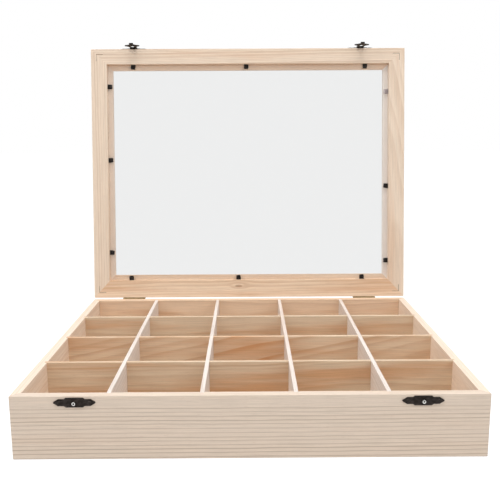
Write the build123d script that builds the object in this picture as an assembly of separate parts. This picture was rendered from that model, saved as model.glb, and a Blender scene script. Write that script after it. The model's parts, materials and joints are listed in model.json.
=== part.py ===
from build123d import *
import os

# A shallow wooden specimen box: mitred walls, a grid of half-lapped dividers and a glazed lid.
# The lid stands open against the stops of its hinges.
# Millimetres. X points right, Y to the back and Z up, from the middle of the underside.
# Every lid piece is drawn with the lid shut and is then swung open about the hinge axis.

# Box
box_width = 370.0
box_depth = 294.0
box_height = 52.0
wall_thickness = 7.5
corner_radius = 0.6
rim_radius = 0.5
floor_thickness = 4.0
floor_let_in = 4.0

# Compartment grid, and how far each front-to-back divider stands from an even spacing
columns = 5
rows = 4
column_shifts = (-2.1, -1.4, -0.2, 0.3)
divider_thickness = 3.5
divider_radius = 0.4
groove_depth = 2.0
joinery_gap = 0.1

# Lid frame and its glass
lid_thickness = 12.0
lid_front_rail_width = 23.5
lid_rear_rail_width = 26.5
lid_stile_width = 24.3
lid_edge_radius = 0.5
lid_rest_gap = 0.2
lid_open_angle = 98.0
glass_rebate_width = 6.0
glass_rebate_depth = 7.0
glass_thickness = 2.0
glass_side_gap = 0.3

# Glazing points, and where they were driven in by hand along each side of the lid
point_size = 5.5
point_bite = 5.0
point_thickness = 0.5
point_gap = 0.05
front_point_places = (-136.0, -2.0, 139.0)
rear_point_places = (-141.0, -12.5, 135.5)
left_point_places = (-104.0, -17.0, 93.0)
right_point_places = (-97.0, 15.0, 104.0)

# V-shaped nails pressed into the underside of the lid across its mitres
mitre_nail_leg = 8.0
mitre_nail_inset = 6.0
mitre_nail_height = 7.0
mitre_nail_thickness = 0.5
mitre_nail_gap = 0.05

# Sheet-metal fittings in general
sheet_thickness = 0.8
running_gap = 0.05
knuckle_gap = 0.15
stand_off = 0.1

# Nails
nail_head_radius = 1.4
nail_head_height = 0.7
nail_shank_radius = 0.55
nail_length = 6.5
nail_hole_gap = 0.03

# Hinges
hinge_inset = 47.5
hinge_width = 26.0
hinge_leaf_height = 10.0
hinge_knuckles = 5
hinge_barrel_radius = 1.1
hinge_pin_radius = 0.5
hinge_nail_spacing = 15.6
hinge_nail_reach = 6.3
pin_overhang = 0.3
stop_length = 4.5
stop_gap = 0.05

# Latch plates, and how far from each end of the box they were nailed on
left_latch_inset = 50.3
right_latch_inset = 52.3
plate_length = 33.0
plate_height = 7.6
plate_middle_length = 13.2
plate_shoulder_length = 1.4
plate_arm_height = 5.4
plate_tip_length = 4.0
plate_corner_radius = 0.5
plate_nail_spacing = 23.4
box_plate_drop = 5.0
lid_plate_rise = 4.2

# Latch studs, which are hollow rivets
stud_neck_radius = 1.0
stud_neck_length = 1.5
stud_head_radius = 1.4
stud_head_height = 1.2
stud_rim_radius = 0.4
stud_bore_radius = 0.55
stud_bore_depth = 1.6

# Latch tongues
tongue_barrel_radius = 1.3
tongue_pin_radius = 0.6
tongue_axis_rise = 2.6
tongue_gap = 0.1
tongue_knuckle_width = 3.6
plate_knuckle_width = 2.0
tongue_neck_width = 8.0
tongue_neck_length = 4.2
tongue_wing_width = 17.0
tongue_wing_drop = 12.4
tongue_wing_height = 2.6
tongue_wing_bulge = 0.6
tongue_lip_width = 4.6
tongue_lip_drop = 17.4
tongue_length = 18.2
tongue_slot_width = 3.8
tongue_slot_length = 5.4
lip_curl_radius = 1.6
lip_curl_angle = 80.0

# Places worked out from the sizes above
inner_width = box_width - 2 * wall_thickness
inner_depth = box_depth - 2 * wall_thickness
half_lap_height = (floor_thickness + box_height) / 2
lid_underside = box_height + lid_rest_gap
lid_top = lid_underside + lid_thickness
sight_x = box_width / 2 - lid_stile_width
sight_front = lid_front_rail_width - box_depth / 2
sight_rear = box_depth / 2 - lid_rear_rail_width
rebate_x = sight_x + glass_rebate_width
rebate_front = sight_front - glass_rebate_width
rebate_rear = sight_rear + glass_rebate_width
glass_z = lid_underside + glass_rebate_depth - glass_thickness
point_z = glass_z - point_gap - point_thickness
hinge_out = hinge_barrel_radius + stand_off
hinge_y = box_depth / 2 + hinge_out
hinge_z = box_height + lid_rest_gap / 2
hinge_places = {"left": hinge_inset - box_width / 2, "right": box_width / 2 - hinge_inset}
latch_places = {"left": left_latch_inset - box_width / 2, "right": box_width / 2 - right_latch_inset}
box_plate_z = box_height - box_plate_drop
lid_plate_z = lid_underside + lid_plate_rise
tongue_out = tongue_barrel_radius + stand_off
tongue_z = lid_underside + tongue_axis_rise


def even_lines(inner_length, count):
    """The middle lines of the dividers that part a length into equal compartments."""
    cell = (inner_length - (count - 1) * divider_thickness) / count
    pitch = cell + divider_thickness
    return [(i + 1) * pitch - divider_thickness / 2 - inner_length / 2 for i in range(count - 1)]


column_lines = [line + shift for line, shift in zip(even_lines(inner_width, columns), column_shifts)]
row_lines = even_lines(inner_depth, rows)


# Helpers
def block(x_from, x_to, y_from, y_to, z_from, z_to):
    """A rectangular block between two opposite corners."""
    size = (x_to - x_from, y_to - y_from, z_to - z_from)
    middle = ((x_from + x_to) / 2, (y_from + y_to) / 2, (z_from + z_to) / 2)
    return Pos(*middle) * Box(*size)


def pair(spacing):
    """Two places at equal distances from the middle."""
    return (-spacing / 2, spacing / 2)


def on_front(x, out, z):
    """A place before the front faces: its own Z points out of the wood and its own Y up."""
    return Plane(origin=(x, -box_depth / 2 - out, z), x_dir=(1, 0, 0), z_dir=(0, -1, 0)).location


def on_back(x, out, z):
    """A place behind the back faces: its own Z points out of the wood and its own Y up."""
    return Plane(origin=(x, box_depth / 2 + out, z), x_dir=(-1, 0, 0), z_dir=(0, 1, 0)).location


def swung_open(shape):
    """Turns a piece of the shut lid about the hinge axis to where it stands when open."""
    return shape.rotate(Axis((0, hinge_y, hinge_z), (1, 0, 0)), -lid_open_angle)


def group(solids):
    """Keeps like fasteners together as one piece of separate solids."""
    return Compound(children=list(solids))


def rod(x_from, x_to, radius):
    """A round bar along X."""
    return Pos((x_from + x_to) / 2, 0, 0) * Rot(0, 90, 0) * Cylinder(radius, x_to - x_from)


def dome(radius, height):
    """A low round head that stands on its own origin."""
    ball_radius = (radius**2 + height**2) / (2 * height)
    ball = Pos(0, 0, height - ball_radius) * Sphere(ball_radius)
    return ball & (Pos(0, 0, height / 2) * Cylinder(radius, height))


def shank(radius, length):
    """A round shank that runs down from its own origin."""
    return Pos(0, 0, -length / 2) * Cylinder(radius, length)


def nail():
    """A round-headed nail, whose head sits on the sheet that it holds."""
    return shank(nail_shank_radius, nail_length) + dome(nail_head_radius, nail_head_height)


def nail_hole():
    """The hole that a nail leaves in sheet and wood."""
    return shank(nail_shank_radius + nail_hole_gap, nail_length + nail_hole_gap)


def corners(x_from, x_to, y_from, y_to):
    """The corners of a rectangle, from the front left one round to the rear left one."""
    return [Vector(x_from, y_from), Vector(x_to, y_from), Vector(x_to, y_to), Vector(x_from, y_to)]


def mitred_boards(sides, outer, inner, z_from, z_to):
    """Cuts the four sides of a frame along the lines through its outer and inner corners."""
    beyond = [corner * 2 - inside for corner, inside in zip(outer, inner)]
    within = [inside * 2 - corner for corner, inside in zip(outer, inner)]
    boards = []
    for i, side in enumerate(sides):
        k = (i + 1) % 4
        outline = Polyline(beyond[i], beyond[k], within[k], within[i], close=True)
        wedge = Pos(0, 0, z_from) * extrude(make_face(outline), z_to - z_from)
        boards.append(side & wedge)
    return boards


# Where the nails go, each as a place on the outside of its sheet
box_latch_nails = []
lid_latch_nails = []
box_hinge_nails = []
lid_hinge_nails = []
for place_x in latch_places.values():
    for dx in pair(plate_nail_spacing):
        box_latch_nails.append(on_front(place_x + dx, sheet_thickness, box_plate_z))
        lid_latch_nails.append(on_front(place_x + dx, sheet_thickness, lid_plate_z))
for place_x in hinge_places.values():
    for dx in pair(hinge_nail_spacing):
        box_hinge_nails.append(on_back(place_x + dx, sheet_thickness, hinge_z - hinge_nail_reach))
        lid_hinge_nails.append(on_back(place_x + dx, sheet_thickness, hinge_z + hinge_nail_reach))
stud_roots = [on_front(place_x, sheet_thickness, box_plate_z) for place_x in latch_places.values()]


# Box
def make_walls():
    """Four mitred walls with the seat for the floor and the grooves for the dividers."""
    ring = block(-box_width / 2, box_width / 2, -box_depth / 2, box_depth / 2, 0, box_height)
    ring = fillet(ring.edges().filter_by(Axis.Z), corner_radius)
    ring -= block(-inner_width / 2, inner_width / 2, -inner_depth / 2, inner_depth / 2, 0, box_height)
    rim_edges = ring.faces().sort_by(Axis.Z)[-1].edges()
    foot_edges = ring.faces().sort_by(Axis.Z)[0].outer_wire().edges()
    ring = fillet(rim_edges + foot_edges, rim_radius)
    seat_x, seat_y = inner_width / 2 + floor_let_in, inner_depth / 2 + floor_let_in
    ring -= block(-seat_x, seat_x, -seat_y, seat_y, 0, floor_thickness)
    half = divider_thickness / 2 + joinery_gap
    end_x, end_y = inner_width / 2 + groove_depth, inner_depth / 2 + groove_depth
    for x in column_lines:
        ring -= block(x - half, x + half, -end_y, end_y, floor_thickness, box_height)
    for y in row_lines:
        ring -= block(-end_x, end_x, y - half, y + half, floor_thickness, box_height)
    for place in box_latch_nails + box_hinge_nails + stud_roots:
        ring -= place * nail_hole()
    names = ("front_wall", "right_wall", "back_wall", "left_wall")
    outer = corners(-box_width / 2, box_width / 2, -box_depth / 2, box_depth / 2)
    inner = corners(-inner_width / 2, inner_width / 2, -inner_depth / 2, inner_depth / 2)
    return dict(zip(names, mitred_boards([ring] * 4, outer, inner, 0, box_height)))


def make_floor():
    half_x = inner_width / 2 + floor_let_in - joinery_gap
    half_y = inner_depth / 2 + floor_let_in - joinery_gap
    return {"floor_panel": block(-half_x, half_x, -half_y, half_y, 0, floor_thickness)}


def divider_board(inner_length):
    """One uncut divider along X, with eased top edges and its ends in the wall grooves."""
    half = inner_length / 2 + groove_depth - joinery_gap
    thick = divider_thickness / 2
    board = block(-half, half, -thick, thick, floor_thickness, box_height)
    top_edges = board.edges().filter_by(Axis.X).group_by(Axis.Z)[-1]
    return fillet(top_edges, divider_radius)


def make_dividers():
    """Boards across the box are notched from above, and boards from front to back from below."""
    dividers = {}
    notch = divider_thickness / 2 + joinery_gap
    lower_top = half_lap_height + joinery_gap / 2
    upper_foot = half_lap_height - joinery_gap / 2
    for i, y in enumerate(row_lines):
        board = Pos(0, y, 0) * divider_board(inner_width)
        for x in column_lines:
            board -= block(x - notch, x + notch, y - notch, y + notch, upper_foot, box_height)
        dividers[f"cross_divider_{i + 1}"] = board
    for i, x in enumerate(column_lines):
        board = Pos(x, 0, 0) * Rot(0, 0, 90) * divider_board(inner_depth)
        for y in row_lines:
            board -= block(x - notch, x + notch, y - notch, y + notch, floor_thickness, lower_top)
        dividers[f"front_to_back_divider_{i + 1}"] = board
    return dividers


# Lid
def point_solids(gap):
    """The glazing points, half in the wood and half over the glass, grown by a gap for their slits."""
    half = point_size / 2 + gap
    z_from, z_to = point_z - gap, point_z + point_thickness + gap
    on_side = block(rebate_x - point_size, rebate_x + point_bite + gap, -half, half, z_from, z_to)
    on_rear = block(-half, half, -point_size, point_bite + gap, z_from, z_to)
    solids = [Pos(0, y, 0) * on_side for y in right_point_places]
    solids += [Pos(0, y, 0) * mirror(on_side, Plane.YZ) for y in left_point_places]
    solids += [Pos(x, rebate_rear, 0) * on_rear for x in rear_point_places]
    solids += [Pos(x, rebate_front, 0) * mirror(on_rear, Plane.XZ) for x in front_point_places]
    return solids


def mitre_nail_solids(gap):
    """An angle of thin steel at each corner of the lid, grown by a gap for its slit."""
    x_to = box_width / 2 - mitre_nail_inset + gap
    y_to = box_depth / 2 - mitre_nail_inset + gap
    grown_leg, grown_thickness = mitre_nail_leg + 2 * gap, mitre_nail_thickness + 2 * gap
    z_from, z_to = lid_underside, lid_underside + mitre_nail_height + gap
    angle = block(x_to - grown_leg, x_to, y_to - grown_thickness, y_to, z_from, z_to)
    angle += block(x_to - grown_thickness, x_to, y_to - grown_leg, y_to, z_from, z_to)
    rear = [angle, mirror(angle, Plane.YZ)]
    return rear + [mirror(solid, Plane.XZ) for solid in rear]


def lid_side(x_from, x_to, y_from, y_to, along):
    """One straight side of the lid frame before it is mitred, with its long edges eased."""
    side = block(x_from, x_to, y_from, y_to, lid_underside, lid_top)
    return fillet(side.edges().filter_by(along), lid_edge_radius)


def make_lid_frame():
    """Four mitred boards with the rebate for the glass on their undersides."""
    half_x, half_y = box_width / 2, box_depth / 2
    room = block(-half_x, half_x, -half_y, half_y, lid_underside, lid_top)
    room = fillet(room.edges().filter_by(Axis.Z), corner_radius)
    ledge_z = lid_underside + glass_rebate_depth
    room -= block(-rebate_x, rebate_x, rebate_front, rebate_rear, lid_underside, ledge_z)
    for slit in point_solids(point_gap) + mitre_nail_solids(mitre_nail_gap):
        room -= slit
    for place in lid_latch_nails + lid_hinge_nails:
        room -= place * nail_hole()
    sides = [
        lid_side(-half_x, half_x, -half_y, sight_front, Axis.X),
        lid_side(sight_x, half_x, -half_y, half_y, Axis.Y),
        lid_side(-half_x, half_x, sight_rear, half_y, Axis.X),
        lid_side(-half_x, -sight_x, -half_y, half_y, Axis.Y),
    ]
    outer = corners(-half_x, half_x, -half_y, half_y)
    inner = corners(-sight_x, sight_x, sight_front, sight_rear)
    names = ("lid_front_rail", "lid_right_stile", "lid_rear_rail", "lid_left_stile")
    boards = mitred_boards([room & side for side in sides], outer, inner, lid_underside, lid_top)
    return {name: swung_open(board) for name, board in zip(names, boards)}


def make_glazing():
    half_x = rebate_x - glass_side_gap
    y_from, y_to = rebate_front + glass_side_gap, rebate_rear - glass_side_gap
    pane = block(-half_x, half_x, y_from, y_to, glass_z, glass_z + glass_thickness)
    points = group(swung_open(solid) for solid in point_solids(0))
    return {"glass_pane": swung_open(pane), "glazing_points": points}


def make_mitre_nails():
    return {"lid_mitre_nails": group(swung_open(solid) for solid in mitre_nail_solids(0))}


# Hinges: a leaf's own Z points out of the wood, and its pin lies on its own X axis
hinge_pitch = hinge_width / hinge_knuckles


def hinge_leaf(first_knuckle, bore_radius):
    """A leaf that hangs from the pin, with every other knuckle and notches for the rest."""
    half = hinge_width / 2
    sheet_from, sheet_to = -hinge_out, sheet_thickness - hinge_out
    notch = hinge_barrel_radius + knuckle_gap
    leaf = block(-half, half, -hinge_leaf_height, 0, sheet_from, sheet_to)
    for i in range(hinge_knuckles):
        x_from = i * hinge_pitch - half
        x_to = x_from + hinge_pitch
        if i % 2 == first_knuckle:
            leaf += rod(x_from + knuckle_gap / 2, x_to - knuckle_gap / 2, hinge_barrel_radius)
        else:
            leaf -= block(x_from - knuckle_gap / 2, x_to + knuckle_gap / 2, -notch, 0, sheet_from, sheet_to)
    leaf -= rod(-half, half, bore_radius)
    for dx in pair(hinge_nail_spacing):
        leaf -= Pos(dx, -hinge_nail_reach, sheet_to) * nail_hole()
    return leaf


def hinge_stops():
    """Heels on the lid's knuckles that meet the box leaf when the lid stands open."""
    z_from = sheet_thickness - hinge_out + stop_gap
    stops = []
    for i in range(1, hinge_knuckles, 2):
        x_from = i * hinge_pitch - hinge_width / 2 + knuckle_gap / 2
        x_to = x_from + hinge_pitch - knuckle_gap
        stops.append(block(x_from, x_to, -stop_length, 0, z_from, z_from + sheet_thickness))
    return stops


def make_hinges():
    fittings = {}
    pin_reach = hinge_width / 2 + pin_overhang
    bore_radius = hinge_pin_radius + running_gap
    for side, x in hinge_places.items():
        place = on_back(x, hinge_out, hinge_z)
        lid_leaf = swung_open(place * Rot(0, 0, 180) * hinge_leaf(1, bore_radius))
        for stop in hinge_stops():
            lid_leaf += place * stop
        lid_leaf -= place * rod(-pin_reach, pin_reach, bore_radius)
        fittings[f"{side}_hinge_box_leaf"] = place * hinge_leaf(0, hinge_pin_radius)
        fittings[f"{side}_hinge_lid_leaf"] = lid_leaf
        fittings[f"{side}_hinge_pin"] = place * rod(-pin_reach, pin_reach, hinge_pin_radius)
    fittings["hinge_box_nails"] = group(place * nail() for place in box_hinge_nails)
    fittings["hinge_lid_nails"] = group(swung_open(place * nail()) for place in lid_hinge_nails)
    return fittings


# Latches: a plate's own Z points out of the wood, and a tongue's pin lies on its own X axis
def stamped_plate():
    """A flat plate with a tall middle, two arms and pointed tips, centred on its back face."""
    middle_x = plate_middle_length / 2
    arm_x = plate_length / 2 - plate_tip_length
    upper = [
        (-plate_length / 2, 0),
        (-arm_x, plate_arm_height / 2),
        (-middle_x - plate_shoulder_length, plate_arm_height / 2),
        (-middle_x, plate_height / 2),
        (middle_x, plate_height / 2),
        (middle_x + plate_shoulder_length, plate_arm_height / 2),
        (arm_x, plate_arm_height / 2),
    ]
    lower = [(-x, -y) for x, y in upper]
    plate = extrude(make_face(Polyline(*upper, *lower, close=True)), sheet_thickness)
    plate = fillet(plate.edges().filter_by(Axis.Z), plate_corner_radius)
    for dx in pair(plate_nail_spacing):
        plate -= Pos(dx, 0, sheet_thickness) * nail_hole()
    return plate


def stud():
    """The hollow-headed stud that the tongue drops over, driven through the box's plate."""
    neck = Pos(0, 0, stud_neck_length / 2) * Cylinder(stud_neck_radius, stud_neck_length)
    head_middle, top = stud_neck_length + stud_head_height / 2, stud_neck_length + stud_head_height
    head = Pos(0, 0, head_middle) * Cylinder(stud_head_radius, stud_head_height)
    head = fillet(head.edges().filter_by(GeomType.CIRCLE), stud_rim_radius)
    bore = Pos(0, 0, top) * shank(stud_bore_radius, stud_bore_depth)
    return shank(nail_shank_radius, nail_length) + neck + head - bore


def lid_plate():
    """A stamped plate with a knuckle each side of the tongue's own, about the tongue's pin."""
    notch_x = tongue_knuckle_width / 2 + knuckle_gap
    notch_y = tongue_barrel_radius + knuckle_gap
    plate = Pos(0, lid_plate_rise - tongue_axis_rise, -tongue_out) * stamped_plate()
    plate -= block(-notch_x, notch_x, -lid_plate_rise, notch_y, -tongue_out, 0)
    plate += rod(notch_x, notch_x + plate_knuckle_width, tongue_barrel_radius)
    plate += rod(-notch_x - plate_knuckle_width, -notch_x, tongue_barrel_radius)
    return plate - rod(-plate_length / 2, plate_length / 2, tongue_pin_radius)


def tongue_outline():
    """Neck, wings and lip, from the neck's top to the lip's foot."""
    neck_x, wing_x, lip_x = tongue_neck_width / 2, tongue_wing_width / 2, tongue_lip_width / 2
    neck_top = -tongue_barrel_radius - 2 * knuckle_gap
    neck_foot = (neck_x, neck_top - tongue_neck_length)
    wing_top = (wing_x - tongue_wing_bulge, -tongue_wing_drop + tongue_wing_height / 2)
    wing_tip = (wing_x, -tongue_wing_drop)
    wing_foot = (wing_x - tongue_wing_bulge, -tongue_wing_drop - tongue_wing_height / 2)
    lip_top = (lip_x, -tongue_lip_drop)
    half = [
        Line((0, neck_top), (neck_x, neck_top)),
        Line((neck_x, neck_top), neck_foot),
        TangentArc(neck_foot, wing_top, tangent=(0, -1)),
        ThreePointArc(wing_top, wing_tip, wing_foot),
        TangentArc(lip_top, wing_foot, tangent=(0, 1)),
        Line(lip_top, (lip_x, -tongue_length)),
        Line((lip_x, -tongue_length), (0, -tongue_length)),
    ]
    return make_face(half + [mirror(edge, Plane.YZ) for edge in half])


def tongue():
    """The swinging tongue, hanging from its pin with its slot about the stud's height."""
    sheet_from = sheet_thickness + tongue_gap - tongue_out
    half_knuckle = tongue_knuckle_width / 2
    sheet = extrude(tongue_outline(), sheet_thickness)
    slot_foot = tongue_slot_width / 2 - tongue_slot_length / 2
    slot_y = box_plate_z - tongue_z + slot_foot
    slot = SlotOverall(tongue_slot_length, tongue_slot_width, rotation=90)
    sheet -= Pos(0, slot_y, 0) * extrude(slot, sheet_thickness)
    lip_end = Plane(origin=(0, -tongue_length, sheet_thickness / 2), x_dir=(1, 0, 0), z_dir=(0, -1, 0))
    curl_axis = Axis((0, -tongue_length, sheet_thickness / 2 + lip_curl_radius), (-1, 0, 0))
    lip = lip_end * Rectangle(tongue_lip_width, sheet_thickness)
    sheet += revolve(lip, curl_axis, revolution_arc=lip_curl_angle)
    stem_foot = -tongue_barrel_radius - 2 * knuckle_gap
    body = Pos(0, 0, sheet_from) * sheet
    body += block(-half_knuckle, half_knuckle, stem_foot, 0, sheet_from, sheet_from + sheet_thickness)
    body += rod(-half_knuckle, half_knuckle, tongue_barrel_radius)
    return body - rod(-half_knuckle, half_knuckle, tongue_pin_radius + running_gap)


def make_latches():
    fittings = {}
    pin_reach = tongue_knuckle_width / 2 + knuckle_gap + plate_knuckle_width + pin_overhang
    for (side, x), root in zip(latch_places.items(), stud_roots):
        lid_place = on_front(x, tongue_out, tongue_z)
        box_plate = on_front(x, 0, box_plate_z) * stamped_plate()
        fittings[f"{side}_latch_box_plate"] = box_plate - root * nail_hole()
        fittings[f"{side}_latch_stud"] = root * stud()
        fittings[f"{side}_latch_lid_plate"] = swung_open(lid_place * lid_plate())
        fittings[f"{side}_latch_pin"] = swung_open(lid_place * rod(-pin_reach, pin_reach, tongue_pin_radius))
        fittings[f"{side}_latch_tongue"] = swung_open(lid_place * tongue())
    fittings["latch_box_nails"] = group(place * nail() for place in box_latch_nails)
    fittings["latch_lid_nails"] = group(swung_open(place * nail()) for place in lid_latch_nails)
    return fittings


pieces = {}
box_makers = (make_walls, make_floor, make_dividers)
lid_makers = (make_lid_frame, make_mitre_nails, make_glazing)
fitting_makers = (make_hinges, make_latches)
for make in box_makers + lid_makers + fitting_makers:
    pieces.update(make())

os.makedirs("parts", exist_ok=True)
for name, shape in pieces.items():
    export_step(shape, f"parts/{name}.step")
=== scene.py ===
import bmesh
import bpy
import json
import math
from mathutils import Euler, Matrix, Vector


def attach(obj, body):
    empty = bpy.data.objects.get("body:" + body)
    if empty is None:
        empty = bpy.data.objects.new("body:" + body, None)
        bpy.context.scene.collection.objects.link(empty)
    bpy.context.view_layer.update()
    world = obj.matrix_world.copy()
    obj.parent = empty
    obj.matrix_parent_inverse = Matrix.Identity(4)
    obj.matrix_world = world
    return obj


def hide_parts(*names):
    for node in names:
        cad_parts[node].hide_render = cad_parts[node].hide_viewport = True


# A pine specimen box with a glazed lid, dressed on its CAD frame.
# Metres throughout, with X to the right, Y to the back and Z up from the middle of the underside.

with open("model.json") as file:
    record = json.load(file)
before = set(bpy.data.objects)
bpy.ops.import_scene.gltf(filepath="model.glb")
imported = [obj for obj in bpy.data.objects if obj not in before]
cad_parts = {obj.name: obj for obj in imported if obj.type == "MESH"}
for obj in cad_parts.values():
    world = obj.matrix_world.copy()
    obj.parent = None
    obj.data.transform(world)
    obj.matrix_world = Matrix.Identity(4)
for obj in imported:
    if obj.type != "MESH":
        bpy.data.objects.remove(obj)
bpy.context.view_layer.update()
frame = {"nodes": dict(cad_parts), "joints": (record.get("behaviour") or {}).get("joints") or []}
view_layer = bpy.context.view_layer
collection = bpy.context.scene.collection
bpy.context.scene.view_settings.view_transform = "Standard"


# Places taken from the frame
def joint_named(name):
    """The record of one joint."""
    return [joint for joint in frame["joints"] if joint["name"] == name][0]


hinge_point = Vector(joint_named("lid_hinge")["pos_m"])
open_angle = math.radians(joint_named("lid_hinge")["range_deg"][1])
turn = Matrix.Rotation(-open_angle, 4, "X")
swing_open = Matrix.Translation(hinge_point) @ turn @ Matrix.Translation(-hinge_point)
swing_shut = swing_open.inverted()
still = Matrix.Identity(4)


def middle_and_size(node, way):
    """Middle and size of a CAD node after it is moved a given way."""
    points = [way @ vertex.co for vertex in frame["nodes"][node].data.vertices]
    low = Vector([min(point[i] for point in points) for i in range(3)])
    high = Vector([max(point[i] for point in points) for i in range(3)])
    return (low + high) / 2, high - low


def lowest(node):
    """The lowest corner of a CAD node where it stands."""
    middle, size = middle_and_size(node, still)
    return middle - size / 2


def solids_of(node, way):
    """Middle and size of each separate solid of a CAD node, after it is moved a given way."""
    mesh = bmesh.new()
    mesh.from_mesh(frame["nodes"][node].data)
    bmesh.ops.remove_doubles(mesh, verts=mesh.verts, dist=0.00001)
    waiting = set(mesh.verts)
    found = []
    while waiting:
        solid = [waiting.pop()]
        for point in solid:
            for edge in point.link_edges:
                other = edge.other_vert(point)
                if other in waiting:
                    waiting.remove(other)
                    solid.append(other)
        places = [way @ point.co for point in solid]
        low = Vector([min(place[i] for place in places) for i in range(3)])
        high = Vector([max(place[i] for place in places) for i in range(3)])
        found.append(((low + high) / 2, high - low))
    mesh.free()
    return sorted(found, key=lambda solid: (round(solid[0].x, 4), round(solid[0].y, 4)))


front_face = lowest("front_wall").y


# Shader helpers
def linear(red, green, blue):
    """A colour read as 0 to 255 from a screen, in the linear values that a shader takes."""
    channels = []
    for level in (red, green, blue):
        part = level / 255
        channels.append(part / 12.92 if part <= 0.04045 else ((part + 0.055) / 1.055) ** 2.4)
    return (*channels, 1.0)


def node(tree, kind, **settings):
    """A new shader node with its settings."""
    made = tree.nodes.new(kind)
    for name, value in settings.items():
        setattr(made, name, value)
    return made


def feed(tree, value, socket):
    """Links another node's output to a socket, or sets a plain value on it."""
    if isinstance(value, bpy.types.NodeSocket):
        tree.links.new(value, socket)
    else:
        socket.default_value = value


def reckon(tree, operation, *values, clamp=False):
    """A sum on single values."""
    made = node(tree, "ShaderNodeMath", operation=operation, use_clamp=clamp)
    for value, socket in zip(values, made.inputs):
        feed(tree, value, socket)
    return made.outputs[0]


def reckon_vector(tree, operation, *values):
    """A sum on vectors."""
    made = node(tree, "ShaderNodeVectorMath", operation=operation)
    for value, socket in zip(values, made.inputs):
        feed(tree, value, socket)
    return made.outputs["Value"] if operation in ("LENGTH", "DOT_PRODUCT") else made.outputs[0]


def ramp(tree, value, start, end, low=0.0, high=1.0):
    """A soft step from low to high as a value goes from start to end."""
    made = node(tree, "ShaderNodeMapRange", interpolation_type="SMOOTHSTEP")
    for given, name in zip((value, start, end, low, high), ("Value", "From Min", "From Max", "To Min", "To Max")):
        feed(tree, given, made.inputs[name])
    return made.outputs["Result"]


def stretch(tree, place, scales):
    """A place with each of its axes scaled."""
    return reckon_vector(tree, "MULTIPLY", place, scales)


def mottle(tree, place, scale=1.0, detail=2.0, roughness=0.5, distortion=0.0):
    """Soft noise from 0 to 1."""
    made = node(tree, "ShaderNodeTexNoise")
    feed(tree, place, made.inputs["Vector"])
    made.inputs["Scale"].default_value = scale
    made.inputs["Detail"].default_value = detail
    made.inputs["Roughness"].default_value = roughness
    made.inputs["Distortion"].default_value = distortion
    return made.outputs[0]


def tint(tree, factor, first, second, mode="MIX"):
    """One colour laid over another."""
    made = node(tree, "ShaderNodeMix", data_type="RGBA", blend_type=mode)
    feed(tree, factor, made.inputs[0])
    feed(tree, first, made.inputs[6])
    feed(tree, second, made.inputs[7])
    return made.outputs[2]


def new_material(name):
    """A material with nothing in it but its surface shader and output."""
    material = bpy.data.materials.new(name)
    material.use_nodes = True
    tree = material.node_tree
    tree.nodes.clear()
    surface = node(tree, "ShaderNodeBsdfPrincipled")
    output = node(tree, "ShaderNodeOutputMaterial")
    tree.links.new(surface.outputs[0], output.inputs["Surface"])
    return material, tree, surface, output


def raise_relief(tree, surface, height, depth):
    """Bump that is depth metres deep where the height goes from 0 to 1."""
    bump = node(tree, "ShaderNodeBump")
    bump.inputs["Strength"].default_value = 1.0
    bump.inputs["Distance"].default_value = depth
    feed(tree, height, bump.inputs["Height"])
    tree.links.new(bump.outputs[0], surface.inputs["Normal"])


def object_place(tree):
    """Places on the piece in the frame's own metres."""
    return node(tree, "ShaderNodeTexCoord").outputs["Object"]


def dress(piece, material):
    """Gives a piece one material all over."""
    piece.data.materials.clear()
    piece.data.materials.append(material)


# Pine
growth_numbers = ("Seed", "Pith across", "Pith deep", "Slope across", "Slope deep", "Ring width", "Wander",
                  "Ripple", "Unevenness", "Late from", "Knot along", "Knot across", "Knot size")


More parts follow.
